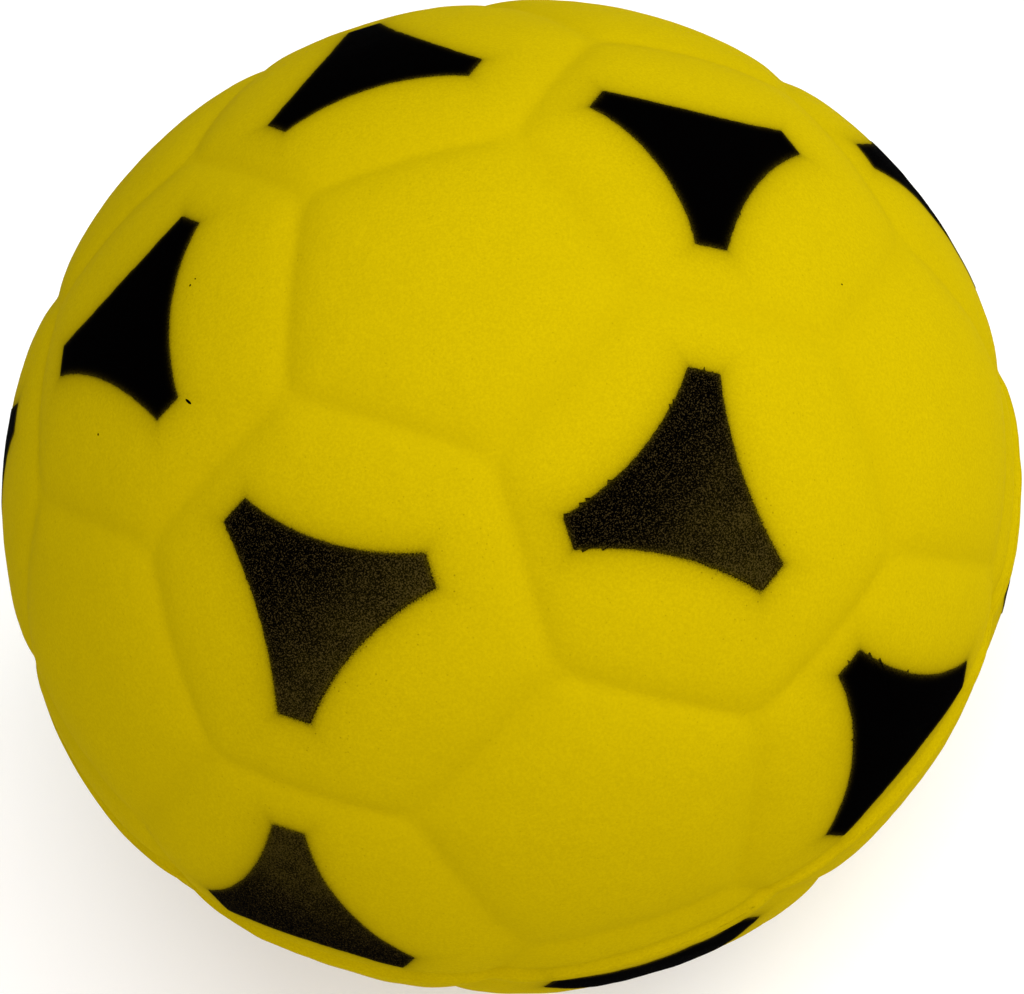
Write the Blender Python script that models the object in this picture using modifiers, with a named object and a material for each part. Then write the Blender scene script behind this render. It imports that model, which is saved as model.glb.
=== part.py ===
"""A moulded foam stress ball with a football pattern, as the pieces it is made of.

A round foam core, the two self-skinned half shells that the two mould halves leave round it, and one
thin sprayed film for each black patch. The ball's centre is the origin, and the mould opens along Z.
"""

import math

import bmesh
import bpy
from mathutils import Matrix, Vector

# Driving dimensions, in metres.
BALL_DIAMETER = 0.070
SKIN_THICKNESS = 0.0016
SEAM_WIDTH = 0.0026
SEAM_DEPTH = 0.0006
LIP_REACH = 0.0009
LIP_RISE = 0.0003
GATE_RADIUS = 0.006
PAINT_THICKNESS = 0.00035
GAP = 0.0003

# The black patch, as angles at the ball's centre.
SCALLOP_ANGLE = math.radians(30.7)
PATCH_REACH = math.radians(13.4)
FRONT_TURN = math.radians(-90.0)

# How finely the round surfaces are cut.
SEAM_CUTS = 2
SPHERE_SUBDIVISIONS = 4
SCALLOP_STEPS = 6
GATE_SEGMENTS = 32

BALL_RADIUS = BALL_DIAMETER / 2
CORE_RADIUS = BALL_RADIUS - SKIN_THICKNESS - GAP
GATE_FLAT_Z = -math.sqrt(BALL_RADIUS**2 - GATE_RADIUS**2)
POCKET_DEPTH = PAINT_THICKNESS + GAP
CUTTER_MARGIN = 0.001
ARMS = 3
PATCH_SEGMENTS = ARMS * (SCALLOP_STEPS + 1)
SOLE_SHARE = 0.5
PANEL_MARK = 1

FOAM_YELLOW = (0.66, 0.50, 0.001, 1.0)
CORE_YELLOW = (0.72, 0.57, 0.04, 1.0)
PAINT_BLACK = (0.004, 0.003, 0.002, 1.0)


def clear_scene():
    for obj in list(bpy.data.objects):
        bpy.data.objects.remove(obj, do_unlink=True)


def new_collection(name, hidden=False):
    made = bpy.data.collections.new(name)
    bpy.context.scene.collection.children.link(made)
    made.hide_render = hidden
    return made


def new_material(name, colour, roughness):
    made = bpy.data.materials.new(name)
    made.use_nodes = True
    shader = made.node_tree.nodes["Principled BSDF"]
    shader.inputs["Base Color"].default_value = colour
    shader.inputs["Roughness"].default_value = roughness
    shader.inputs["Metallic"].default_value = 0.0
    made.diffuse_color = colour
    return made


def new_object(name, bm, collection, material=None):
    """An object from a bmesh, which is freed."""
    mesh = bpy.data.meshes.new(name)
    bm.to_mesh(mesh)
    bm.free()
    mesh.shade_smooth()
    mesh.set_sharp_from_angle(angle=math.radians(35))
    obj = bpy.data.objects.new(name, mesh)
    collection.objects.link(obj)
    if material:
        mesh.materials.append(material)
    return obj


def new_cutter(name, bm):
    obj = new_object(name, bm, cutters)
    obj.hide_render = True
    obj.display_type = "WIRE"
    return obj


def add_boolean(obj, cutter, operation="DIFFERENCE"):
    modifier = obj.modifiers.new(cutter.name, "BOOLEAN")
    modifier.operation = operation
    modifier.object = cutter
    modifier.solver = "EXACT"


def add_solidify(obj, thickness):
    modifier = obj.modifiers.new("thickness", "SOLIDIFY")
    modifier.thickness = thickness
    modifier.offset = -1.0


def cylinder_bm(radius, top, bottom):
    """An upright cylinder on the Z axis, between two heights."""
    bm = bmesh.new()
    bmesh.ops.create_cone(
        bm,
        cap_ends=True,
        segments=GATE_SEGMENTS,
        radius1=radius,
        radius2=radius,
        depth=top - bottom,
        matrix=Matrix.Translation((0, 0, (top + bottom) / 2)),
    )
    return bm


def sphere_bm(radius):
    bm = bmesh.new()
    bmesh.ops.create_icosphere(bm, subdivisions=SPHERE_SUBDIVISIONS, radius=radius)
    return bm


# The pattern: an icosahedron with a corner on +Z gives the pentagon axes by its corners and the
# hexagon axes by its faces. Its cut-off corners are the moulded seams.


def icosahedron_bm():
    bm = bmesh.new()
    turn = Matrix.Rotation(FRONT_TURN, 4, "Z")
    bmesh.ops.create_icosphere(bm, subdivisions=1, radius=1.0, matrix=turn)
    return bm


def hexagon_axes():
    """Directions of the hexagons' centres, each with the directions of its three corner pentagons."""
    bm = icosahedron_bm()
    found = [
        (face.calc_center_median().normalized(), [v.co.normalized() for v in face.verts])
        for face in bm.faces
    ]
    bm.free()
    return sorted(found, key=lambda f: (-round(f[0].z, 3), math.atan2(f[0].y, f[0].x)))


def seamed_ball_bm():
    """The whole outer surface: flat-panelled at first, then cast to the ball with its seams sunk."""
    bm = icosahedron_bm()
    bmesh.ops.bevel(
        bm,
        geom=bm.verts[:],
        offset=100.0 / 3,
        offset_type="PERCENT",
        segments=1,
        affect="VERTICES",
        clamp_overlap=False,
    )
    for vert in bm.verts:
        vert.co = vert.co.normalized() * BALL_RADIUS
    panels = bm.faces[:]
    bmesh.ops.inset_individual(bm, faces=panels, thickness=SEAM_WIDTH / 2, use_even_offset=True)
    for panel in panels:
        panel.material_index = PANEL_MARK
    inset_verts = {vert for panel in panels for vert in panel.verts}
    across = {e for e in bm.edges if (e.verts[0] in inset_verts) != (e.verts[1] in inset_verts)}
    bmesh.ops.poke(bm, faces=panels)
    bmesh.ops.subdivide_edges(
        bm,
        edges=[edge for edge in bm.edges if edge not in across],
        cuts=SEAM_CUTS,
        use_grid_fill=True,
    )
    for vert in bm.verts:
        in_panel = any(face.material_index == PANEL_MARK for face in vert.link_faces)
        vert.co = vert.co.normalized() * (BALL_RADIUS - (0.0 if in_panel else SEAM_DEPTH))
    for face in bm.faces:
        face.material_index = 0
    bmesh.ops.recalc_face_normals(bm, faces=bm.faces[:])
    return bm


def half_ball_bm(side):
    """The half above (side 1) or below (side -1) the parting plane, closed there, with its lip."""
    bm = seamed_ball_bm()
    normal = Vector((0, 0, side))
    bmesh.ops.bisect_plane(bm, geom=bm.verts[:] + bm.edges[:] + bm.faces[:],
                           plane_co=normal * LIP_REACH, plane_no=normal)
    bmesh.ops.bisect_plane(bm, geom=bm.verts[:] + bm.edges[:] + bm.faces[:],
                           plane_co=normal * GAP / 2, plane_no=normal, clear_inner=True)
    rim = [edge for edge in bm.edges if edge.is_boundary]
    for vert in {vert for edge in rim for vert in edge.verts}:
        outward = Vector((vert.co.x, vert.co.y, 0)).normalized()
        vert.co += outward * LIP_RISE
    bmesh.ops.edgeloop_fill(bm, edges=rim)
    bmesh.ops.recalc_face_normals(bm, faces=bm.faces[:])
    return bm


# The black patch: what is left of a hexagon outside three circles, one round each corner pentagon,
# with its three arms cut off square.


def scallop_limit(angle_to_pentagon, pentagon_distance, scallop):
    """How far from the patch's centre the circle round a pentagon lies, in that direction."""
    a = math.cos(pentagon_distance)
    b = math.sin(pentagon_distance) * math.cos(angle_to_pentagon)
    share = math.cos(scallop) / math.hypot(a, b)
    if share >= 1 or b <= 0:
        return math.pi
    return math.atan2(b, a) - math.acos(share)


def arm_end_turn(pentagon_distance, scallop, reach):
    """The turn from an arm's middle to its corner, as seen from the patch's centre."""
    half_gap = math.pi / ARMS
    a = (math.cos(pentagon_distance) * math.cos(reach)
         + math.sin(pentagon_distance) * math.sin(reach) * math.cos(half_gap))
    b = math.sin(pentagon_distance) * math.sin(half_gap)
    half_width = math.atan2(b, a) - math.acos(math.cos(scallop) / math.hypot(a, b))
    return math.atan2(math.sin(half_width), math.sin(reach) * math.cos(half_width))


def patch_outline(pentagon_distance, grow):
    """(turn, distance) of each point of the outline, grown outward by a distance on the surface."""
    scallop = SCALLOP_ANGLE - grow / BALL_RADIUS
    reach = PATCH_REACH + grow / BALL_RADIUS
    sector = 2 * math.pi / ARMS
    corner = arm_end_turn(pentagon_distance, scallop, reach)
    points = []
    for arm in range(ARMS):
        for step in range(SCALLOP_STEPS + 1):
            turn = corner + (sector - 2 * corner) * step / SCALLOP_STEPS
            limit = scallop_limit(turn - sector / 2, pentagon_distance, scallop)
            points.append((arm * sector + turn, limit))
    return points


def patch_bm(pentagon_distance, radius, grow=0.0):
    """One patch as an open surface on the ball, centred on +Z with an arm towards +X."""
    outline = patch_outline(pentagon_distance, grow)
    bm = bmesh.new()
    bmesh.ops.create_circle(bm, cap_ends=True, radius=1.0, segments=PATCH_SEGMENTS)
    sole = bm.faces[:]
    bmesh.ops.inset_individual(bm, faces=sole, thickness=SOLE_SHARE, use_even_offset=True)
    bmesh.ops.poke(bm, faces=sole)
    slice_angle = 2 * math.pi / PATCH_SEGMENTS
    for vert in bm.verts:
        share = min(vert.co.to_2d().length, 1.0)
        place = round(math.atan2(vert.co.y, vert.co.x) / slice_angle) % PATCH_SEGMENTS
        turn, limit = outline[place]
        distance = share * limit
        flat = math.sin(distance)
        vert.co = Vector((flat * math.cos(turn), flat * math.sin(turn), math.cos(distance))) * radius
    bmesh.ops.recalc_face_normals(bm, faces=bm.faces[:])
    if sum((face.normal.z for face in bm.faces)) < 0:
        bmesh.ops.reverse_faces(bm, faces=bm.faces[:])
    return bm


def patch_placement(axis, pentagons):
    """The turn that takes a patch from +Z to a hexagon, with each arm between two pentagons."""
    away = -pentagons[0]
    towards = (away - away.dot(axis) * axis).normalized()
    return Matrix((towards, axis.cross(towards), axis)).transposed().to_4x4()


def make_pocket_cutter(name, hexagons, pentagon_distance):
    """All of one half's pockets: patches grown by the gap, from above the skin to the pocket floor."""
    bm = bmesh.new()
    for axis, pentagons in hexagons:
        patch = patch_bm(pentagon_distance, BALL_RADIUS + CUTTER_MARGIN, GAP)
        patch.transform(patch_placement(axis, pentagons))
        mesh = bpy.data.meshes.new(name)
        patch.to_mesh(mesh)
        patch.free()
        bm.from_mesh(mesh)
        bpy.data.meshes.remove(mesh)
    cutter = new_cutter(name, bm)
    add_solidify(cutter, CUTTER_MARGIN + POCKET_DEPTH)
    return cutter


def make_core():
    """The inner foam, with the stub where the mould was filled, trimmed to a small flat."""
    core = new_object("foam_core", sphere_bm(CORE_RADIUS), ball, core_foam)
    stub = new_cutter("gate_stub_shape", cylinder_bm(GATE_RADIUS, -CORE_RADIUS / 2, GATE_FLAT_Z))
    add_boolean(core, stub, "UNION")
    return core


def make_skin(name, side, hexagons, pentagon_distance):
    skin = new_object(name, half_ball_bm(side), ball, foam_skin)
    add_boolean(skin, cavity)
    pockets = make_pocket_cutter(name + "_pockets", hexagons, pentagon_distance)
    add_boolean(skin, pockets)
    return skin


def make_patches(prefix, hexagons, pentagon_distance, parent):
    """One film for each hexagon. They share one mesh, turned to each place."""
    first = new_object(prefix + "_01", patch_bm(pentagon_distance, BALL_RADIUS), ball, black_paint)
    for number, (axis, pentagons) in enumerate(hexagons, 1):
        film = first
        if number > 1:
            film = bpy.data.objects.new(f"{prefix}_{number:02d}", first.data)
            ball.objects.link(film)
        add_solidify(film, PAINT_THICKNESS)
        film.matrix_world = patch_placement(axis, pentagons)
        film.parent = parent


def make_half_empty(name):
    """The centre of the ball, on the squeeze axis, from which one half is hung."""
    empty = bpy.data.objects.new(name, None)
    ball.objects.link(empty)
    return empty


clear_scene()
ball = new_collection("stress_ball")
cutters = new_collection("cutters", hidden=True)
foam_skin = new_material("foam_skin", FOAM_YELLOW, 0.75)
core_foam = new_material("core_foam", CORE_YELLOW, 0.9)
black_paint = new_material("black_paint", PAINT_BLACK, 0.65)

cavity = new_cutter("cavity", sphere_bm(CORE_RADIUS + GAP))
gate_hole = new_cutter(
    "gate_hole", cylinder_bm(GATE_RADIUS + GAP, -CORE_RADIUS / 2, -BALL_RADIUS - CUTTER_MARGIN)
)

all_hexagons = hexagon_axes()
corner_distance = all_hexagons[0][0].angle(all_hexagons[0][1][0])
upper_hexagons = [h for h in all_hexagons if h[0].z > 0]
lower_hexagons = [h for h in all_hexagons if h[0].z < 0]

lower_half = make_half_empty("lower_half")
upper_half = make_half_empty("upper_half")
foam_core = make_core()
foam_core.parent = lower_half
lower_skin = make_skin("lower_skin", -1, lower_hexagons, corner_distance)
add_boolean(lower_skin, gate_hole)
lower_skin.parent = lower_half
upper_skin = make_skin("upper_skin", 1, upper_hexagons, corner_distance)
upper_skin.parent = upper_half
make_patches("lower_patch", lower_hexagons, corner_distance, lower_half)
make_patches("upper_patch", upper_hexagons, corner_distance, upper_half)
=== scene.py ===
"""The looks of a moulded foam stress ball: its skin, soft seams, flash line and sprayed patches.

Everything is in metres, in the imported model's frame: the ball's centre is the origin and the mould
opens along Z. One function, surface_points, says where the foam's surface is in each direction, and
the two skins, the paint films and the stray flecks all follow it.
"""

import math
from collections import namedtuple

import bmesh
import bpy
import numpy as np
from mathutils import Matrix, Vector


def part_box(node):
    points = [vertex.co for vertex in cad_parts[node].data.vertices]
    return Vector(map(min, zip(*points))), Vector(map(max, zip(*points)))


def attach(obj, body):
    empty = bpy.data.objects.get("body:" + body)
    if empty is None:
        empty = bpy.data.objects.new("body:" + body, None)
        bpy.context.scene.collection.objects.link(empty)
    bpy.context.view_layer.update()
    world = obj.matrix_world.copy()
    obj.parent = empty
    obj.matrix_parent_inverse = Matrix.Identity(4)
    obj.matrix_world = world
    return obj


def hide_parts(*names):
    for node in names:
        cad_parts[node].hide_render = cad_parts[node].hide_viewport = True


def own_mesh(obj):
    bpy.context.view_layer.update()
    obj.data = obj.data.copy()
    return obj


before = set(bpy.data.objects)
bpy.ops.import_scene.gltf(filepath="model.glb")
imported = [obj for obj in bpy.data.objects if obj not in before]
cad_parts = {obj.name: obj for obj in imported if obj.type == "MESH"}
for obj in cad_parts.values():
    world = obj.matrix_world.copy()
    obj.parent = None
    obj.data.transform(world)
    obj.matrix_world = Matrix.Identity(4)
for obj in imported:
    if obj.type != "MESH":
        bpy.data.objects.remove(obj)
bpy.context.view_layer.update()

MM = 0.001
UP = Vector((0, 0, 1))

# The ball, from the frame: the flat it rests on, the top of its travel, and its squeeze.
FLOOR_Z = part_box("foam_core")[0].z
TOP_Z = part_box("upper_skin")[1].z
BALL_RADIUS = TOP_Z
CORE_DEPTH = BALL_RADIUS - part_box("foam_core")[1].z

# How round the foam ball is: a belly at the parting plane, a narrower waist under it, and a foot
# that is fuller again. Heights and spans are shares of the radius.
MEAN_RADIUS = 34.07 * MM
BELLY = 0.040
BELLY_HEIGHT = 0.06
BELLY_SPAN = 0.6
WAIST = 0.040
WAIST_HEIGHT = -0.5
WAIST_SPAN = 0.3
FOOT = 0.0246
FOOT_FROM = 0.3
FOOT_TO = 1.0

# The moulded seams and the crowned panels between them.
SEAM_DEPTH = 0.42 * MM
SEAM_REACH = 1.25 * MM
SEAM_BOTTOM = 0.3 * MM
SEAM_BLEND = 0.45 * MM
# The mould's seams sit a little askew under the stencil: turned about X, Y and Z by these degrees,
# and low by this share of the radius.
SEAM_TURN = (1.03, 2.10, 0.40)
SEAM_DROP = 0.043
CROWN_RISE = 0.16 * MM
CROWN_SPAN = 4.5 * MM

# The foam's own unevenness: the size of each kind of bump, and how high it is. The lower half is
# lumpier than the upper one, from this height on down.
GRAIN = ((0.9 * MM, 0.016 * MM), (2.2 * MM, 0.03 * MM), (8.0 * MM, 0.06 * MM))
LUMP_SIZE = 1.6 * MM
LUMP_RISE = 0.05 * MM
LUMPS_FROM = 12 * MM
LUMPS_FULL = -6 * MM
LUMP_SEED = 11

# The flash line, where the two mould halves met. Heights are above the parting plane.
FLASH_HEIGHT = -0.45 * MM
FLASH_HALF_WIDTH = 0.7 * MM
FLASH_RISE = 0.28 * MM
CREASE_HEIGHT = 0.62 * MM
CREASE_HALF_WIDTH = 0.45 * MM
CREASE_DEPTH = 0.19 * MM
RIM_GAP = 0.0005 * MM
# The skin's mesh is cut at these heights, in millimetres, among the faces this near to the plane.
FLASH_CUTS = (0.12, 0.3, 0.45, 0.62, 0.8, 1.0, 1.25)
CUT_REACH = 2.0 * MM

# The skins and the foam inside. The gate is the hole in the lower skin for the filling stub.
SKIN_SUBDIVISIONS = 8
INNER_SEGMENTS = 96
INNER_RINGS = 10
GATE_RADIUS = 6.0 * MM
GATE_CLEARANCE = 0.3 * MM
GATE_ANGLE = math.asin((GATE_RADIUS + GATE_CLEARANCE) / BALL_RADIUS)
CORE_CLEARANCE = 0.1 * MM
CORE_RINGS = 48
CORE_SEGMENTS = 144

# The trimmed stub: the step where it leaves the core, the rounded edge of its face as insets and
# heights, and the dimple in the middle. The face has open pits of two kinds. Each has its size, the
# value of the noise that it starts from, and how deep it is for each unit of noise past that.
STUB_STEP = 0.2 * MM
STUB_EDGE = ((0.0, 0.25 * MM), (0.12 * MM, 0.06 * MM), (0.25 * MM, 0.0))
STUB_RINGS = 30
STUB_DIMPLE = 0.1 * MM
PITS = ((0.42 * MM, -0.1, 0.35 * MM), (1.3 * MM, 0.35, 0.5 * MM))
PIT_SEED = 31

# The stencil for the black patches, as angles at the ball's centre. FRONT_TURN brings one of the
# pattern's pentagons round to the front.
SCALLOP_ANGLE = math.radians(30.7)
PATCH_REACH = math.radians(13.4)
FRONT_TURN = math.radians(-90.0)

# The paint films: their meshes, and how far above the foam their top, edge and underside are.
OUTLINE_SAMPLES = 7200
PATCH_POINTS = 460
PATCH_RINGS = 26
RING_CROWDING = 1.6
FILM_RISE = 0.045 * MM
FILM_EDGE = -0.05 * MM
FILM_SOLE = -0.45 * MM

# A film's ragged edge: the size and height of its teeth, and the hairs that creep out under the
# stencil. The higher their threshold, the fewer and narrower they are.
TEETH = ((0.22 * MM, 0.035 * MM), (0.7 * MM, 0.04 * MM))
HAIR_SIZE = 0.12 * MM
HAIR_THRESHOLD = 0.62
HAIR_LENGTH = 1.4 * MM
EDGE_SEED = 40

# The camera: where it stands round the ball, and how the ball lies in its picture.
CAMERA_AZIMUTH = math.radians(6.35)
CAMERA_ELEVATION = math.radians(62.93)
CAMERA_ROLL = math.radians(22.69)
CAMERA_DISTANCE = 9.52 * MEAN_RADIUS
CAMERA_LENS = 162.6
CAMERA_ASIDE = 0.0017 * MEAN_RADIUS
CAMERA_ABOVE = 0.0052 * MEAN_RADIUS

# The studio: each softbox's name, azimuth and elevation in degrees, power in watts and colour.
SOFTBOX_DISTANCE = 1.1
SOFTBOX_SIZE = 0.9
SOFTBOXES = (
    ("softbox_camera", 6, 63, 5.3, (1.0, 0.84, 0.82)),
    ("softbox_right", 95, 35, 7.8, (0.96, 1.0, 0.99)),
    ("softbox_top", 100, 78, 7.3, (0.93, 1.0, 0.98)),
    ("softbox_left", -60, 50, 2.3, (0.95, 1.0, 1.0)),
)
AMBIENT = 0.27
# The floor's glow is painted light, which washes out the ball's shadow on the floor.
FLOOR_GLOW = 0.22
FLOOR_HALF_WIDTH = 1.5
FLOOR_SEGMENTS = 8

# How many random values the noise has along each axis before it repeats.
LATTICE = 64


def smooth_noise(points, cell, seed):
    """Smooth random values from -1 to 1, with bumps about one cell wide."""
    table = np.random.default_rng(seed).uniform(-1, 1, (LATTICE,) * 3)
    places = points / cell
    low = np.floor(places).astype(int)
    share = places - low
    share = share * share * (3 - 2 * share)
    total = np.zeros(len(points))
    for corner in np.ndindex(2, 2, 2):
        weight = np.prod(np.where(corner, share, 1 - share), axis=1)
        total += weight * table[tuple(((low + corner) % LATTICE).T)]
    return total


def ramp(value, start, end):
    """0 before start, 1 after end, and a smooth rise between them."""
    share = np.clip((value - start) / (end - start), 0, 1)
    return share * share * (3 - 2 * share)


def unit(vectors):
    """Vectors of length 1 in the same directions."""
    return vectors / np.linalg.norm(vectors, axis=-1, keepdims=True)


# The pattern: an icosahedron with a corner on +Z. Its corners are the pentagons' axes and its faces
# the hexagons' axes.


def icosahedron():
    """Directions of the 12 pentagons, and of the 20 hexagons with each one's three pentagons."""
    bm = bmesh.new()
    bmesh.ops.create_icosphere(
        bm, subdivisions=1, radius=1.0, matrix=Matrix.Rotation(FRONT_TURN, 4, "Z")
    )
    pentagons = unit(np.array([vert.co for vert in bm.verts]))
    hexagons = unit(np.array([face.calc_center_median() for face in bm.faces]))
    corners = unit(np.array([[vert.co for vert in face.verts] for face in bm.faces]))
    bm.free()
    return pentagons, hexagons, corners


PENTAGONS, HEXAGONS, HEXAGON_CORNERS = icosahedron()
PENTAGON_DISTANCE = math.acos(HEXAGONS[0] @ HEXAGON_CORNERS[0][0])

# A truncated icosahedron's corners lie one third along each icosahedron edge, so the planes of its
# panels have these distances from the centre, as shares of the corners' distance.
EDGE_CORNER = unit((2 * HEXAGON_CORNERS[0][0] + HEXAGON_CORNERS[0][1])[None])[0]
HEXAGON_PLANE = EDGE_CORNER @ HEXAGONS[0]
PENTAGON_PLANE = EDGE_CORNER @ HEXAGON_CORNERS[0][0]
PANEL_NORMALS = np.vstack((HEXAGONS / HEXAGON_PLANE, PENTAGONS / PENTAGON_PLANE))
PANEL_SPREAD = np.linalg.norm(
    HEXAGONS[0] / HEXAGON_PLANE - HEXAGON_CORNERS[0][0] / PENTAGON_PLANE
)
SEAM_AXIS = Vector(SEAM_TURN)
SEAM_FRAME = np.array(Matrix.Rotation(math.radians(SEAM_AXIS.length), 3, SEAM_AXIS))


def seam_distance(directions):
    """How far each point is from the nearest seam, along the surface."""
    along = directions[:, 2:] * SEAM_DROP
    reach = np.sqrt(along**2 + 1 - SEAM_DROP**2) - along
    in_mould = (directions * reach + (0, 0, SEAM_DROP)) @ SEAM_FRAME
    heights = np.sort(in_mould @ PANEL_NORMALS.T, axis=1)[:, ::-1]
    apart = (heights[:, :1] - heights[:, 1:5]) * BALL_RADIUS / PANEL_SPREAD
    return -SEAM_BLEND * np.log(np.sum(np.exp(-apart / SEAM_BLEND), axis=1))


def seam_shape(seam):
    """1 at the bottom of a seam, and less with distance from it."""
    return np.exp((SEAM_BOTTOM - np.hypot(seam, SEAM_BOTTOM)) / SEAM_REACH)


def roundness(height):
    """The smooth radius at a height given as a share of the radius."""
    belly = BELLY * np.exp(-(((height - BELLY_HEIGHT) / BELLY_SPAN) ** 2))
    waist = WAIST * np.exp(-(((height - WAIST_HEIGHT) / WAIST_SPAN) ** 2))
    foot = FOOT * ramp(-height, FOOT_FROM, FOOT_TO)
    return MEAN_RADIUS * (1 + belly - waist + foot)


def surface_points(directions, rise=0.0):
    """Points on the foam's surface in these directions, or that much above it."""
    seam = seam_distance(directions)
    smooth = roundness(directions[:, 2])
    base = directions * smooth[:, None]
    height = base[:, 2]
    radius = smooth - SEAM_DEPTH * seam_shape(seam)
    radius += CROWN_RISE * (1 - np.exp(-((seam / CROWN_SPAN) ** 2)))
    radius += FLASH_RISE * np.exp(-(((height - FLASH_HEIGHT) / FLASH_HALF_WIDTH) ** 2))
    radius -= CREASE_DEPTH * np.exp(-(((height - CREASE_HEIGHT) / CREASE_HALF_WIDTH) ** 2))
    for number, (size, amount) in enumerate(GRAIN):
        radius += amount * smooth_noise(base, size, number + 1)
    lumpy = ramp(-height, -LUMPS_FROM, -LUMPS_FULL)
    radius += LUMP_RISE * lumpy * smooth_noise(base, LUMP_SIZE, LUMP_SEED)
    return directions * (radius + rise)[:, None]


# The patches.

# How each patch was sprayed. The stencil slipped east and north by that many millimetres, and
# turned by that many degrees. It lifted on the side that the bearing faces, where the paint is thin
# and its edge misty, and it pressed on the other side, where the edge is frayed. The last value is
# how speckled the paint is; the specks are partly foam showing through and partly painted glints.
Spray = namedtuple("Spray", "east north turn bearing thin mist fray dust")
SEEN_SPRAYS = {
    ("high", 90): Spray(-0.2, 0.85, -0.35, 200, 0.0, 0.1, 0.0, 0.0),
    ("high", 162): Spray(-0.15, 0.45, -0.9, 150, 0.0, 0.1, 0.0, 0.0),
    ("high", 18): Spray(-0.27, 0.2, 0.5, 120, 0.0, 0.2, 0.2, 0.0),
    ("high", -54): Spray(-0.05, -0.15, 0.4, 175, 0.9, 0.8, 1.0, 0.9),
    ("high", -126): Spray(-0.1, 0.15, -0.55, 120, 0.95, 1.0, 0.35, 1.0),
    ("low", -54): Spray(0.3, -0.15, -0.3, 170, 0.0, 0.1, 0.7, 0.0),
    ("low", -126): Spray(-0.1, 0.3, 0.6, 15, 1.0, 0.4, 0.1, 0.8),
    ("low", 18): Spray(0.0, 0.0, 0.0, 90, 0.0, 0.1, 0.1, 0.0),
    ("low", 162): Spray(0.0, 0.0, 0.0, 90, 0.0, 0.1, 0.1, 0.0),
    ("below", -90): Spray(0.8, 0.5, 0.0, 90, 0.0, 0.1, 0.1, 0.0),
}

# Stray flecks of paint near a patch: how far east and north of its centre, and their length and
# width, in millimetres, and how many degrees they are turned from east.
Fleck = namedtuple("Fleck", "east north length width turn")
FLECKS = {
    ("high", 162): (
        Fleck(7.1, 6.4, 0.85, 0.24, 45),
        Fleck(6.9, -2.7, 0.24, 0.2, 20),
        Fleck(-1.5, 6.1, 0.24, 0.2, 0),
        Fleck(-1.9, 6.5, 0.18, 0.14, 60),
    ),
    ("high", 18): (Fleck(-12.3, -5.4, 0.2, 0.16, 60),),
}
FLECK_POINTS = 14
FLECK_EDGE = -0.012 * MM
# A fleck is as black as the paint this many millimetres inside a patch's edge.
FLECK_INSIDE = 1.0

# How the hidden patches may differ: their slip in millimetres, and their turn in degrees.
HIDDEN_SLIP = 0.25
HIDDEN_TURN = 0.8
HIDDEN_SEED = 1000
BAND_SEED = 400

# Where the paint starts to thin and is thinnest, and where its edge starts to grow misty and is
# mistiest, from 0 at the patch's centre to 1 at its lifted side. Fraying goes the other way, to the
# pressed side.
THINNING = (-0.5, 0.9)
MISTING = (-0.3, 0.8)
FRAYING = (0.0, 0.5)

# The patches lie in four bands of latitude, two on each side of the parting plane.
BAND_LATITUDE = 30


def patch_name(hexagon):
    """The band of latitude that a patch is in, and its azimuth."""
    latitude = math.degrees(math.asin(hexagon[2]))
    azimuth = round(math.degrees(math.atan2(hexagon[1], hexagon[0])))
    if latitude > 0:
        return "high" if latitude > BAND_LATITUDE else "low", azimuth
    return "under" if latitude < -BAND_LATITUDE else "below", azimuth


def spray_of(hexagon):
    """How one hexagon's patch was sprayed: as seen, or at random where it can't be seen."""
    band, azimuth = patch_name(hexagon)
    if (band, azimuth) in SEEN_SPRAYS:
        return SEEN_SPRAYS[(band, azimuth)]
    seed = HIDDEN_SEED + azimuth + BAND_SEED * ("low", "below", "under").index(band)
    draw = np.random.default_rng(seed)
    east, north = draw.uniform(-HIDDEN_SLIP, HIDDEN_SLIP, 2)
    return Spray(
        east,
        north,
        turn=draw.uniform(-HIDDEN_TURN, HIDDEN_TURN),
        bearing=draw.uniform(0, 360),
        thin=draw.uniform(0, 1) ** 2,
        mist=draw.uniform(0.1, 0.9),
        fray=draw.uniform(0.2, 1.0),
        dust=draw.uniform(0.1, 1.0),
    )


SPRAYS = [spray_of(hexagon) for hexagon in HEXAGONS]
Stencil = namedtuple("Stencil", "arm side out corners lifted")


def stencil_frame(number):
    """One patch as the stencil lay: its axes, its three pentagons and the side that was lifted."""
    out = HEXAGONS[number]
    spray = SPRAYS[number]
    east_way = unit(np.cross((0, 0, 1), out))
    north_way = np.cross(out, east_way)
    # A slip along the surface is a turn about the axis square to it.
    shift = (north_way * spray.east - east_way * spray.north) * MM / BALL_RADIUS
    bearing = math.radians(spray.bearing)
    lifted = north_way * math.cos(bearing) + east_way * math.sin(bearing)
    move = Matrix.Rotation(math.radians(spray.turn), 3, Vector(out))
    if np.linalg.norm(shift) > 0:
        move = Matrix.Rotation(float(np.linalg.norm(shift)), 3, Vector(shift)) @ move
    move = np.array(move)
    corners = HEXAGON_CORNERS[number] @ move.T
    out = move @ out
    arm = unit((corners[0] @ out) * out - corners[0])
    return Stencil(arm, np.cross(out, arm), out, corners, lifted)


STENCILS = [stencil_frame(number) for number in range(len(HEXAGONS))]
ARM_TURNS = np.radians((0, 120, 240))


def patch_depth(directions, stencil):
    """How far inside a patch's outline each point is, along the surface. Negative is outside."""
    x, y, z = directions @ stencil.arm, directions @ stencil.side, directions @ stencil.out
    depth = np.full(len(directions), np.inf)
    for corner in stencil.corners:
        away = np.arccos(np.clip(directions @ corner, -1, 1))
        depth = np.minimum(depth, away - SCALLOP_ANGLE)
    for turn in ARM_TURNS:
        along = np.arctan2(x * math.cos(turn) + y * math.sin(turn), z)
        depth = np.minimum(depth, PATCH_REACH - along)
    return depth * BALL_RADIUS


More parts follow.
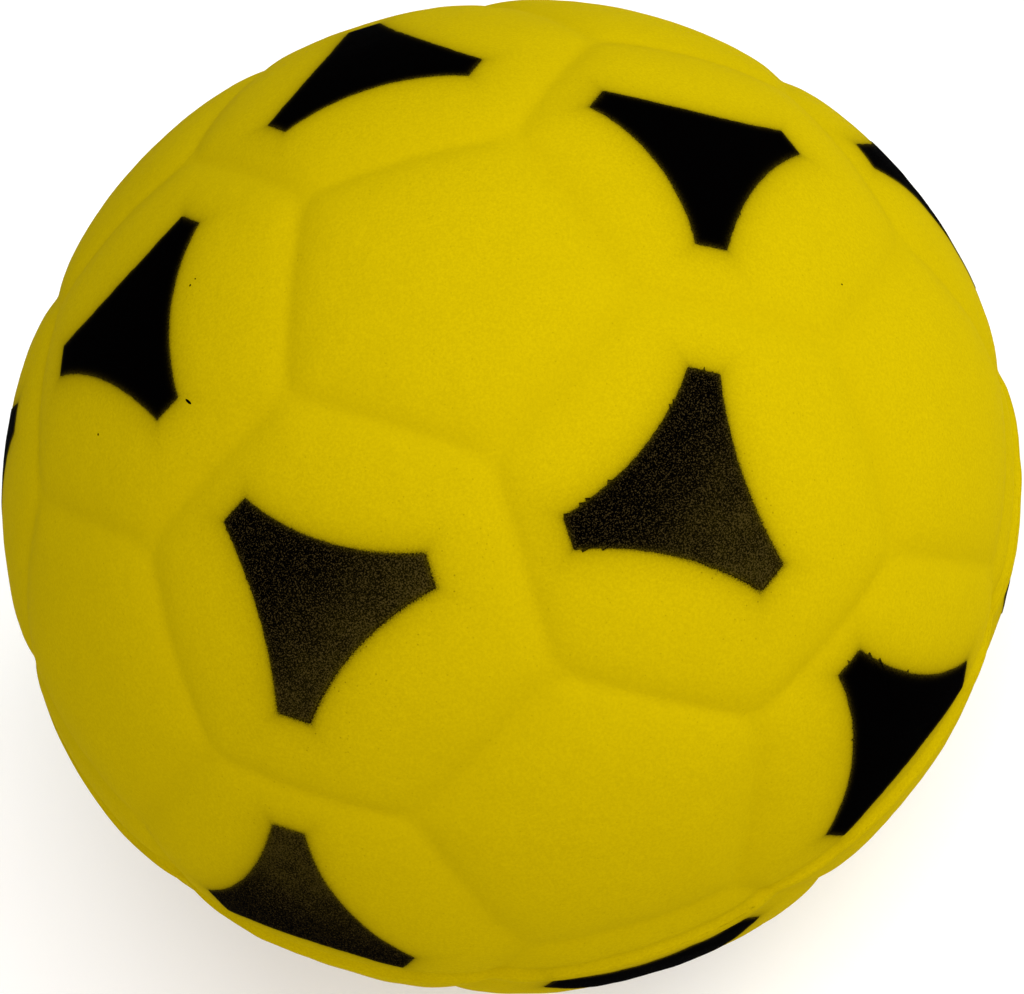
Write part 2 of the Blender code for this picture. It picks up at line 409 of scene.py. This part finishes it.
def lift(directions, stencil):
    """How far towards the lifted side each point is: 1 at an arm's reach, and -1 across from it."""
    return (directions @ stencil.lifted - stencil.out @ stencil.lifted) / math.sin(PATCH_REACH)


def patch_outline():
    """Points round a patch's outline, evenly spaced, as (arm, side) distances from its centre."""
    turns = np.linspace(0, 2 * math.pi, OUTLINE_SAMPLES + 1)[:-1]
    reach = np.full(len(turns), np.inf)
    for turn in ARM_TURNS:
        facing = np.cos(turns - turn - math.pi)
        a, b = math.cos(PENTAGON_DISTANCE), math.sin(PENTAGON_DISTANCE) * facing
        share = math.cos(SCALLOP_ANGLE) / np.hypot(a, b)
        limit = np.arctan2(b, a) - np.arccos(np.clip(share, -1, 1))
        reach = np.where((share < 1) & (b > 0), np.minimum(reach, limit), reach)
        ahead = np.maximum(np.cos(turns - turn), 1e-6)
        reach = np.minimum(reach, np.arctan(math.tan(PATCH_REACH) / ahead))
    line = np.column_stack((reach * np.cos(turns), reach * np.sin(turns))) * BALL_RADIUS
    closed = np.vstack((line, line[:1]))
    walked = np.concatenate(([0], np.cumsum(np.linalg.norm(np.diff(closed, axis=0), axis=1))))
    stops = np.linspace(0, walked[-1], PATCH_POINTS + 1)[:-1]
    return np.column_stack([np.interp(stops, walked, closed[:, axis]) for axis in range(2)])


OUTLINE = patch_outline()


def frayed_outline(stencil, fray, seed):
    """The outline with small teeth all round, and hairs where the stencil pressed."""
    ahead, behind = np.roll(OUTLINE, -1, axis=0), np.roll(OUTLINE, 1, axis=0)
    along = unit(ahead - behind)
    outward = np.column_stack((along[:, 1], -along[:, 0]))
    flat = np.column_stack((OUTLINE, np.zeros(len(OUTLINE))))
    teeth = np.zeros(len(OUTLINE))
    for number, (size, amount) in enumerate(TEETH):
        teeth += amount * smooth_noise(flat, size, seed + number)
    hair = np.maximum(smooth_noise(flat, HAIR_SIZE, seed + 3) - HAIR_THRESHOLD, 0) * HAIR_LENGTH
    pressed = ramp(-lift(on_ball(OUTLINE, stencil), stencil), *FRAYING)
    return OUTLINE + outward * (teeth + hair * fray * pressed)[:, None]


def on_ball(flat, stencil):
    """Directions of points given as (arm, side) distances along the surface."""
    length = np.linalg.norm(flat, axis=1)
    angle = length / BALL_RADIUS
    way = flat / np.maximum(length, 1e-9)[:, None]
    flatways = way[:, :1] * stencil.arm + way[:, 1:] * stencil.side
    return unit(np.cos(angle)[:, None] * stencil.out + np.sin(angle)[:, None] * flatways)


# Meshes.


def link_mesh(name, verts, faces, material):
    """A new object in the scene, from its vertices and faces."""
    mesh = bpy.data.meshes.new(name)
    mesh.from_pydata([tuple(v) for v in verts], [], faces)
    mesh.update()
    return link_object(name, mesh, material)


def link_object(name, mesh, material):
    """A new, smoothly shaded object in the scene, from its mesh."""
    mesh.shade_smooth()
    mesh.materials.append(material)
    obj = bpy.data.objects.new(name, mesh)
    bpy.context.scene.collection.objects.link(obj)
    return obj


def mesh_points(mesh):
    """Where a mesh's vertices are, one to a row."""
    points = np.empty(len(mesh.vertices) * 3, np.float32)
    mesh.vertices.foreach_get("co", points)
    return points.reshape(-1, 3).astype(float)


def store(mesh, name, values):
    """Keeps one number, or one vector, for each vertex of a mesh, for its material to read."""
    kind, slot = ("FLOAT_VECTOR", "vector") if np.ndim(values) == 2 else ("FLOAT", "value")
    attribute = mesh.attributes.new(name, kind, "POINT")
    attribute.data.foreach_set(slot, np.ascontiguousarray(values, np.float32).ravel())


def by_turn(verts):
    """Vertices in order of their turn round Z."""
    return sorted(verts, key=lambda vert: math.atan2(vert.co.y, vert.co.x))


def stitch(bm, first, second):
    """Faces between two rings of verts that may differ in number, both in order of turn."""
    turns = [[math.atan2(v.co.y, v.co.x) for v in ring] for ring in (first, second)]
    i = j = 0
    while i < len(first) or j < len(second):
        next_i = turns[0][i + 1] if i + 1 < len(first) else turns[0][0] + 2 * math.pi
        next_j = turns[1][j + 1] if j + 1 < len(second) else turns[1][0] + 2 * math.pi
        a, b = first[i % len(first)], second[j % len(second)]
        if j >= len(second) or (i < len(first) and next_i <= next_j):
            i += 1
            bm.faces.new((a, first[i % len(first)], b))
        else:
            j += 1
            bm.faces.new((a, second[j % len(second)], b))


def inner_ring(bm, radius, height):
    """A new level ring of vertices, in order of turn."""
    steps = range(INNER_SEGMENTS)
    turns = [2 * math.pi * (step + 0.5) / INNER_SEGMENTS - math.pi for step in steps]
    return [bm.verts.new((radius * math.cos(t), radius * math.sin(t), height)) for t in turns]


def cut_away(bm, place, normal):
    """Cuts a mesh with a plane and keeps the side that its normal points to."""
    everything = bm.verts[:] + bm.edges[:] + bm.faces[:]
    bmesh.ops.bisect_plane(
        bm, geom=everything, plane_co=place, plane_no=normal, clear_inner=True
    )


def make_skin(name, side, material):
    """One half's skin: the outer surface above or below the parting plane, and its inside."""
    bm = bmesh.new()
    bmesh.ops.create_icosphere(bm, subdivisions=SKIN_SUBDIVISIONS, radius=1.0)
    normal = Vector((0, 0, side))
    cut_away(bm, (0, 0, 0), normal)
    for cut in FLASH_CUTS:
        near = [f for f in bm.faces if abs(f.calc_center_median().z) * BALL_RADIUS < CUT_REACH]
        part = list({v for f in near for v in f.verts}) + list({e for f in near for e in f.edges})
        level = normal * cut * MM / MEAN_RADIUS
        bmesh.ops.bisect_plane(bm, geom=part + near, plane_co=level, plane_no=normal)
    if side < 0:
        cut_away(bm, (0, 0, -math.cos(GATE_ANGLE)), UP)
    bmesh.ops.triangulate(bm, faces=[f for f in bm.faces if len(f.verts) > 3])
    edge_verts = {v for e in bm.edges if e.is_boundary for v in e.verts}
    rim = by_turn([v for v in edge_verts if abs(v.co.z) < 0.1])
    gate = by_turn([v for v in edge_verts if v.co.z < -0.9])
    for edge in {e for v in rim + gate for e in v.link_edges if e.is_boundary}:
        edge.smooth = False
    directions = unit(np.array([vert.co for vert in bm.verts]))
    points = surface_points(directions)
    points[:, 2] = np.where(np.abs(directions[:, 2]) < 1e-6, side * RIM_GAP, points[:, 2])
    for vert, point in zip(bm.verts, points):
        vert.co = point
    last_angle = math.pi / 2 if side > 0 else math.pi / 2 - GATE_ANGLE
    ring_above = rim
    for step in range(INNER_RINGS):
        angle = last_angle * step / INNER_RINGS
        radius = roundness(np.array(side * math.sin(angle))) - CORE_DEPTH
        height = side * max(radius * math.sin(angle), RIM_GAP)
        ring = inner_ring(bm, radius * math.cos(angle), height)
        stitch(bm, ring_above, ring)
        ring_above = ring
    if side > 0:
        bm.faces.new(ring_above)
    else:
        collar = inner_ring(bm, GATE_RADIUS + GATE_CLEARANCE, FLOOR_Z + CORE_DEPTH)
        stitch(bm, ring_above, collar)
        stitch(bm, collar, gate)
    bmesh.ops.recalc_face_normals(bm, faces=bm.faces[:])
    mesh = bpy.data.meshes.new(name)
    bm.to_mesh(mesh)
    bm.free()
    obj = link_object(name, mesh, material)
    place = mesh_points(mesh)
    ways = unit(place)
    outside = np.full(len(place), np.inf)
    mist = np.zeros(len(place))
    for stencil, spray in zip(STENCILS, SPRAYS):
        beyond = -patch_depth(ways, stencil)
        nearer = beyond < outside
        outside = np.where(nearer, beyond, outside)
        mist = np.where(nearer, spray.mist * ramp(lift(ways, stencil), *MISTING), mist)
    store(mesh, "rest", place / MM)
    # The seams' shape, for the painted shade in their grooves.
    store(mesh, "seam", seam_shape(seam_distance(ways)))
    store(mesh, "outside", outside / MM)
    store(mesh, "mist", mist)
    return obj


def core_radius(height):
    """How far the core reaches from the centre, at a height given as a share of the radius."""
    return float(roundness(np.array(height))) - CORE_DEPTH - CORE_CLEARANCE


def core_profile():
    """The core's outline: the radius and height of each ring, from its top to the stub's face."""
    profile = []
    for step in range(1, CORE_RINGS):
        angle = math.pi * step / CORE_RINGS
        reach = core_radius(math.cos(angle))
        radius, height = reach * math.sin(angle), reach * math.cos(angle)
        if height < 0 and radius < GATE_RADIUS:
            break
        profile.append((radius, height))
    profile.append((GATE_RADIUS, profile[-1][1] - STUB_STEP))
    profile += [(GATE_RADIUS - inset, FLOOR_Z + above) for inset, above in STUB_EDGE]
    face_radius = profile[-1][0]
    for step in range(1, STUB_RINGS):
        profile.append((face_radius * (1 - step / STUB_RINGS), FLOOR_Z))
    return profile


def make_core(name, material):
    """The foam inside, turned round Z, with the trimmed stub where the mould was filled."""
    verts = []
    for radius, height in core_profile():
        for step in range(CORE_SEGMENTS):
            turn = 2 * math.pi * step / CORE_SEGMENTS
            verts.append((radius * math.cos(turn), radius * math.sin(turn), height))
    verts = np.array(verts)
    pits = np.zeros(len(verts))
    for number, (size, threshold, depth) in enumerate(PITS):
        pits += np.maximum(smooth_noise(verts, size, PIT_SEED + number) - threshold, 0) * depth
    on_face = verts[:, 2] < FLOOR_Z + 0.001 * MM
    verts[:, 2] += np.where(on_face, pits, 0)
    top, foot = len(verts), len(verts) + 1
    last = len(verts) - CORE_SEGMENTS
    verts = np.vstack((verts, (0, 0, core_radius(1.0)), (0, 0, FLOOR_Z + STUB_DIMPLE)))
    faces = []
    for step in range(CORE_SEGMENTS):
        beside = (step + 1) % CORE_SEGMENTS
        faces.append((top, step, beside))
        faces.append((foot, last + beside, last + step))
        for ring in range(0, last, CORE_SEGMENTS):
            below = ring + CORE_SEGMENTS
            faces.append((ring + step, below + step, below + beside, ring + beside))
    obj = link_mesh(name, verts, faces, material)
    store(obj.data, "rest", verts / MM)
    return obj


def add_fleck(points, faces, out, fleck):
    """Adds a small flat drop of paint, which dips into the foam all round, to a film's mesh."""
    east = unit(np.cross((0, 0, 1), out))
    north = np.cross(out, east)
    turn = math.radians(fleck.turn)
    along = east * math.cos(turn) + north * math.sin(turn)
    across = np.cross(out, along)
    middle = unit(out * BALL_RADIUS + (east * fleck.east + north * fleck.north) * MM)
    turns = np.linspace(0, 2 * math.pi, FLECK_POINTS + 1)[:-1, None]
    ring = along * np.cos(turns) * fleck.length + across * np.sin(turns) * fleck.width
    ring = unit(middle * BALL_RADIUS + ring * MM / 2)
    ways = np.vstack((middle, ring, middle))
    rise = np.array([FILM_RISE] + [FLECK_EDGE] * FLECK_POINTS + [FILM_EDGE])
    first = len(points)
    sole = first + FLECK_POINTS + 1
    for step in range(FLECK_POINTS):
        a, b = first + 1 + step, first + 1 + (step + 1) % FLECK_POINTS
        faces += [(first, a, b), (sole, b, a)]
    return np.vstack((points, surface_points(ways, rise)))


def make_film(name, number, material):
    """One patch's paint: a thin film that follows the foam and dips into it all round its edge."""
    stencil, spray = STENCILS[number], SPRAYS[number]
    outline = frayed_outline(stencil, spray.fray, EDGE_SEED + 5 * number)
    shares = 1 - (1 - np.linspace(0, 1, PATCH_RINGS + 1)[1:]) ** RING_CROWDING
    flat = np.vstack([np.zeros((1, 2))] + [outline * share for share in shares])
    rise = np.full(len(flat), FILM_RISE)
    rise[-PATCH_POINTS:] = FILM_EDGE
    directions = on_ball(flat, stencil)
    points = surface_points(directions, rise)
    sole = surface_points(directions[:1], FILM_SOLE)
    points = np.vstack((points, sole))
    count = PATCH_POINTS
    faces = [(0, 1 + s, 1 + (s + 1) % count) for s in range(count)]
    for ring in range(PATCH_RINGS - 1):
        start = 1 + ring * count
        for s in range(count):
            a, b = start + s, start + (s + 1) % count
            faces.append((a, a + count, b + count, b))
    last = 1 + (PATCH_RINGS - 1) * count
    faces += [(len(points) - 1, last + (s + 1) % count, last + s) for s in range(count)]
    film_points = len(points)
    for fleck in FLECKS.get(patch_name(HEXAGONS[number]), ()):
        points = add_fleck(points, faces, HEXAGONS[number], fleck)
    obj = link_mesh(name, points, faces, material)
    ways = unit(points)
    store(obj.data, "rest", points / MM)
    inside = patch_depth(ways, stencil) / MM
    inside[film_points:] = FLECK_INSIDE
    store(obj.data, "inside", inside)
    store(obj.data, "thin", spray.thin * ramp(lift(ways, stencil), *THINNING))
    store(obj.data, "dust", np.full(len(points), spray.dust))
    return obj


# Materials. Their noises read each vertex's place at rest, in millimetres, so they move with it.


class Nodes:
    """A material's node tree, with short ways to add and join its nodes."""

    def __init__(self, name):
        self.material = bpy.data.materials.new(name)
        self.material.use_nodes = True
        self.tree = self.material.node_tree
        self.shader = self.tree.nodes["Principled BSDF"]

    def add(self, kind, **settings):
        """A new node with these settings."""
        node = self.tree.nodes.new(kind)
        for key, value in settings.items():
            setattr(node, key, value)
        return node

    def join(self, source, target):
        """Links an output to an input."""
        self.tree.links.new(source, target)

    def attribute(self, name, output="Fac"):
        """What store() kept on the mesh by that name."""
        return self.add("ShaderNodeAttribute", attribute_name=name).outputs[output]

    def noise(self, where, scale, detail=2.0, roughness=0.5):
        """Noise from 0 to 1, with this many bumps in each unit of the place that it reads."""
        node = self.add("ShaderNodeTexNoise")
        node.inputs["Scale"].default_value = scale
        node.inputs["Detail"].default_value = detail
        node.inputs["Roughness"].default_value = roughness
        self.join(where, node.inputs["Vector"])
        return node.outputs["Fac"]

    def cells(self, where, scale):
        """The distance from the nearest of many scattered points."""
        node = self.add("ShaderNodeTexVoronoi")
        node.inputs["Scale"].default_value = scale
        self.join(where, node.inputs["Vector"])
        return node.outputs["Distance"]

    def remap(self, value, low, high, out_low=0.0, out_high=1.0):
        """A smooth step from one value to another as the input goes from low to high."""
        node = self.add("ShaderNodeMapRange", interpolation_type="SMOOTHSTEP")
        node.inputs["From Min"].default_value = low
        node.inputs["From Max"].default_value = high
        node.inputs["To Min"].default_value = out_low
        node.inputs["To Max"].default_value = out_high
        self.join(value, node.inputs["Value"])
        return node.outputs["Result"]

    def math(self, operation, first, second):
        """One operation on two values, each of which is a number or another node's output."""
        node = self.add("ShaderNodeMath", operation=operation)
        for socket, value in zip(node.inputs, (first, second)):
            if isinstance(value, (int, float)):
                socket.default_value = value
            else:
                self.join(value, socket)
        return node.outputs["Value"]

    def fade(self, distance, reach):
        """1 at no distance, and less by a factor of e for each reach further."""
        return self.math("EXPONENT", self.math("MULTIPLY", distance, -1 / reach), 0.0)

    def mix(self, share, first, second):
        """A colour that much of the way from the first to the second."""
        node = self.add("ShaderNodeMix", data_type="RGBA")
        for key, value in (("Factor", share), ("A", first), ("B", second)):
            socket = node.inputs[key]
            if isinstance(value, (int, float, tuple)):
                socket.default_value = value
            else:
                self.join(value, socket)
        return next(o for o in node.outputs if o.type == "RGBA")

    def bump(self, height, distance, after=None):
        """Fine relief, on top of the relief of another bump if there is one."""
        node = self.add("ShaderNodeBump")
        node.inputs["Distance"].default_value = distance
        node.inputs["Strength"].default_value = 1.0
        self.join(height, node.inputs["Height"])
        if after is not None:
            self.join(after, node.inputs["Normal"])
        return node.outputs["Normal"]


YELLOW = (0.468, 0.346, 0.0005, 1)
YELLOW_LIGHT = (0.484, 0.359, 0.0006, 1)
# The darker foam tone, which also paints the shade in the seams.
YELLOW_DARK_AND_SEAM_SHADE = (0.415, 0.304, 0.0004, 1)
YELLOW_SPECKLE = (0.408, 0.300, 0.0004, 1)
# Painted shade in the skin's pores, with paint dust in them near the patches.
PORE_SHADE_AND_DUST = (0.24, 0.17, 0.0004, 1)
SPRAY_DARK = (0.012, 0.008, 0.0005, 1)
PAINT_BLACK = (0.0003, 0.0002, 0.0002, 1)
PAINT_THIN = (0.022, 0.0160, 0.0008, 1)
# Specks on the paint: partly foam showing through, partly painted glints.
PAINT_SPECK_AND_GLINT = (0.060, 0.041, 0.012, 1)
PAINT_EDGE = (0.060, 0.043, 0.001, 1)
# Painted shade in the hollows of the core's open cells.
CORE_CELL_SHADE = (0.42, 0.31, 0.01, 1)
CORE_YELLOW = (0.74, 0.57, 0.03, 1)
CORE_PALE = (0.80, 0.64, 0.06, 1)
FLOOR_DULL = (0.79, 0.79, 0.79, 1)
FLOOR_PALE = (0.82, 0.82, 0.82, 1)

# The spray that drifted past a patch's outline: how dark it is there, and the millimetres over
# which it fades. The first two are all round a patch, and the third is where its edge is misty.
# Dust lands further out.
FAR_DRIFT, FAR_REACH = 0.37, 0.85
NEAR_DRIFT, NEAR_REACH = 0.36, 0.15
MISTY_DRIFT, MISTY_REACH = 0.6, 0.22
DUST_REACH = 2.5


def make_foam_skin():
    """Yellow foam: mottled, with painted shade in its seams and pores, and dusted with black round
    the patches.
    """
    n = Nodes("foam_skin_look")
    place = n.attribute("rest", "Vector")

    # The foam's own colour, with painted shade in its seams.
    broad = n.remap(n.noise(place, 0.16, 3.0), 0.4, 0.7)
    mottle = n.remap(n.noise(place, 3.2, 2.0, 0.6), 0.3, 0.7)
    colour = n.mix(mottle, YELLOW, YELLOW_LIGHT)
    colour = n.mix(n.math("MULTIPLY", broad, 0.12), colour, YELLOW_DARK_AND_SEAM_SHADE)
    # Painted shade in the seams' grooves, on top of the shading that their relief gives.
    colour = n.mix(n.math("MULTIPLY", n.attribute("seam"), 0.3), colour, YELLOW_DARK_AND_SEAM_SHADE)
    speckle = n.remap(n.noise(place, 5.5, 2.0, 0.65), 0.3, 0.7)
    colour = n.mix(n.math("MULTIPLY", speckle, 0.75), colour, YELLOW_SPECKLE)

    # Small dark spots: painted shade in the skin's pores, with more and darker ones where the spray
    # drifted and left paint dust.
    outside = n.attribute("outside")
    mist = n.attribute("mist")
    pore_shade = n.remap(n.cells(place, 2.1), 0.06, 0.17, 1.0, 0.0)
    dusty = n.math("MULTIPLY", n.math("MULTIPLY", n.fade(outside, DUST_REACH), mist), 0.9)
    rare = n.math("ADD", n.noise(place, 0.8, 1.0), n.math("MULTIPLY", dusty, 0.12))
    rare = n.remap(rare, 0.48, 0.6)
    pore_shade_and_dust = n.math("MULTIPLY", n.math("MULTIPLY", pore_shade, rare), n.math("ADD", dusty, 0.35))
    colour = n.mix(n.math("MINIMUM", pore_shade_and_dust, 1.0), colour, PORE_SHADE_AND_DUST)

    # The drifted spray.
    far = n.math("MULTIPLY", n.fade(outside, FAR_REACH), FAR_DRIFT)
    near = n.math("MULTIPLY", n.fade(outside, NEAR_REACH), NEAR_DRIFT)
    misty = n.math("MULTIPLY", n.fade(outside, MISTY_REACH), MISTY_DRIFT)
    misty = n.math("MULTIPLY", misty, mist)
    grain = n.remap(n.noise(place, 11.0, 1.0, 0.7), 0.3, 0.7, 0.6, 1.4)
    near = n.math("MULTIPLY", n.math("ADD", near, misty), grain)
    colour = n.mix(n.math("MINIMUM", n.math("ADD", far, near), 1.0), colour, SPRAY_DARK)
    n.join(colour, n.shader.inputs["Base Color"])

    # Its fine, dull surface.
    fine = n.noise(place, 5.0, 3.0, 0.65)
    n.join(n.remap(fine, 0.3, 0.7, 0.75, 0.92), n.shader.inputs["Roughness"])
    n.shader.inputs["Specular IOR Level"].default_value = 0.002
    bump = n.bump(n.noise(place, 1.4, 2.0), 0.03 * MM)
    bump = n.bump(fine, 0.016 * MM, bump)
    n.join(bump, n.shader.inputs["Normal"])
    return n.material


def make_core_foam():
    """The open cells of the foam inside, where the stub was trimmed, with painted shade in their
    hollows.
    """
    n = Nodes("core_foam_look")
    place = n.attribute("rest", "Vector")
    cells = n.cells(place, 2.4)
    grain = n.noise(place, 3.5, 4.0, 0.65)
    # Painted shade in the hollows of the open cells, round each cell's point.
    colour = n.mix(n.remap(cells, 0.1, 0.6), CORE_CELL_SHADE, CORE_YELLOW)
    colour = n.mix(n.remap(grain, 0.35, 0.7), colour, CORE_PALE)
    n.join(colour, n.shader.inputs["Base Color"])
    n.join(n.remap(grain, 0.3, 0.7, 0.82, 0.96), n.shader.inputs["Roughness"])
    n.shader.inputs["Specular IOR Level"].default_value = 0.12
    n.join(n.bump(n.math("ADD", cells, grain), 0.12 * MM), n.shader.inputs["Normal"])
    return n.material


def make_paint():
    """Matt black paint, which lets the foam through where it is thin and at its edge, and has specks
    that are partly painted glints.
    """
    n = Nodes("black_paint_look")
    place = n.attribute("rest", "Vector")
    cloud = n.remap(n.noise(place, 0.5, 2.0), 0.3, 0.7, 0.7, 1.15)
    thin = n.math("MULTIPLY", n.attribute("thin"), cloud)
    grain = n.noise(place, 9.5, 1.0, 0.8)
    uneven = n.remap(grain, 0.35, 0.65, 0.3, 1.5)
    inside = n.math("MAXIMUM", n.attribute("inside"), 0.0)
    edge = n.math("MULTIPLY", n.fade(inside, 0.12), uneven)
    # Specks on thin, misty paint: partly foam showing through, partly painted glints.
    speck_and_glint = n.remap(n.math("ADD", grain, n.math("MULTIPLY", thin, 0.07)), 0.53, 0.70)
    speck_and_glint = n.math("MULTIPLY", speck_and_glint, n.attribute("dust"))
    bare = n.math("MULTIPLY", n.math("POWER", thin, 1.6), uneven)
    colour = n.mix(bare, PAINT_BLACK, PAINT_THIN)
    colour = n.mix(n.math("MULTIPLY", speck_and_glint, 0.6), colour, PAINT_SPECK_AND_GLINT)
    colour = n.mix(n.math("MULTIPLY", edge, 0.7), colour, PAINT_EDGE)
    n.join(colour, n.shader.inputs["Base Color"])
    n.join(n.remap(grain, 0.3, 0.7, 0.75, 0.95), n.shader.inputs["Roughness"])
    n.shader.inputs["Specular IOR Level"].default_value = 0.001
    n.join(n.bump(grain, 0.03 * MM), n.shader.inputs["Normal"])
    return n.material


def make_floor_material():
    """A pale sheet that glows a little: painted light that washes out the ball's shadow on it."""
    n = Nodes("floor_look")
    place = n.add("ShaderNodeTexCoord").outputs["Object"]
    colour = n.mix(n.noise(place, 30.0, 2.0), FLOOR_DULL, FLOOR_PALE)
    n.join(colour, n.shader.inputs["Base Color"])
    n.shader.inputs["Emission Color"].default_value = (1, 1, 1, 1)
    n.shader.inputs["Emission Strength"].default_value = FLOOR_GLOW
    n.shader.inputs["Roughness"].default_value = 0.9
    n.shader.inputs["Specular IOR Level"].default_value = 0.1
    return n.material


def finish_piece(obj, nodes, body):
    """What every piece of the ball takes: it hides the parts that it stands for, gets its own mesh,
    and hangs from the body that it squeezes with.
    """
    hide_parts(*nodes)
    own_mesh(obj)
    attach(obj, body)


# The pieces.
foam_skin = make_foam_skin()
core_foam = make_core_foam()
black_paint = make_paint()

upper = make_skin("upper_skin_foam", 1, foam_skin)
finish_piece(upper, ["upper_skin"], "upper_half")

lower = make_skin("lower_skin_foam", -1, foam_skin)
finish_piece(lower, ["lower_skin"], "lower_half")

core = make_core("inner_foam", core_foam)
finish_piece(core, ["foam_core"], "lower_half")

for side in ("upper", "lower"):
    for node in sorted(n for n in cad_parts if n.startswith(side + "_patch_")):
        low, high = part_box(node)
        number = int(np.argmax(HEXAGONS @ np.array((low + high) / 2)))
        film = make_film(node.replace("patch", "paint"), number, black_paint)
        finish_piece(film, [node], side + "_half")


def make_floor():
    """A plain flat sheet, wide enough that the camera sees no edge of it."""
    bm = bmesh.new()
    bmesh.ops.create_grid(
        bm, x_segments=FLOOR_SEGMENTS, y_segments=FLOOR_SEGMENTS, size=FLOOR_HALF_WIDTH
    )
    mesh = bpy.data.meshes.new("floor")
    bm.to_mesh(mesh)
    bm.free()
    obj = link_object("floor", mesh, make_floor_material())
    obj.location.z = FLOOR_Z


def toward(azimuth, elevation):
    """The direction of a place round the ball: azimuth 0 is in front, on -Y, and 90 on +X."""
    flat = math.cos(elevation)
    return Vector((math.sin(azimuth) * flat, -math.cos(azimuth) * flat, math.sin(elevation)))


def add_softbox(name, azimuth, elevation, power, colour):
    """A square light that faces the ball."""
    light = bpy.data.lights.new(name, "AREA")
    light.size = SOFTBOX_SIZE
    light.energy = power
    light.color = colour
    obj = bpy.data.objects.new(name, light)
    bpy.context.scene.collection.objects.link(obj)
    obj.location = toward(math.radians(azimuth), math.radians(elevation)) * SOFTBOX_DISTANCE
    obj.rotation_euler = (-obj.location).to_track_quat("-Z", "Y").to_euler()


def add_camera():
    """The camera, aimed at the ball's centre and then slid a little aside and above."""
    back = toward(CAMERA_AZIMUTH, CAMERA_ELEVATION)
    level = Vector((math.cos(CAMERA_AZIMUTH), math.sin(CAMERA_AZIMUTH), 0))
    above = back.cross(level)
    right = level * math.cos(CAMERA_ROLL) - above * math.sin(CAMERA_ROLL)
    up = level * math.sin(CAMERA_ROLL) + above * math.cos(CAMERA_ROLL)
    data = bpy.data.cameras.new("camera")
    data.lens = CAMERA_LENS
    obj = bpy.data.objects.new("camera", data)
    bpy.context.scene.collection.objects.link(obj)
    place = back * CAMERA_DISTANCE + right * CAMERA_ASIDE + up * CAMERA_ABOVE
    obj.matrix_world = Matrix((right, up, back)).transposed().to_4x4()
    obj.location = place
    bpy.context.scene.camera = obj


make_floor()
add_camera()
for light in SOFTBOXES:
    add_softbox(*light)
world = bpy.data.worlds.new("studio")
world.use_nodes = True
world.node_tree.nodes["Background"].inputs["Color"].default_value = (1, 1, 1, 1)
world.node_tree.nodes["Background"].inputs["Strength"].default_value = AMBIENT
bpy.context.scene.world = world
bpy.context.scene.view_settings.view_transform = "Standard"
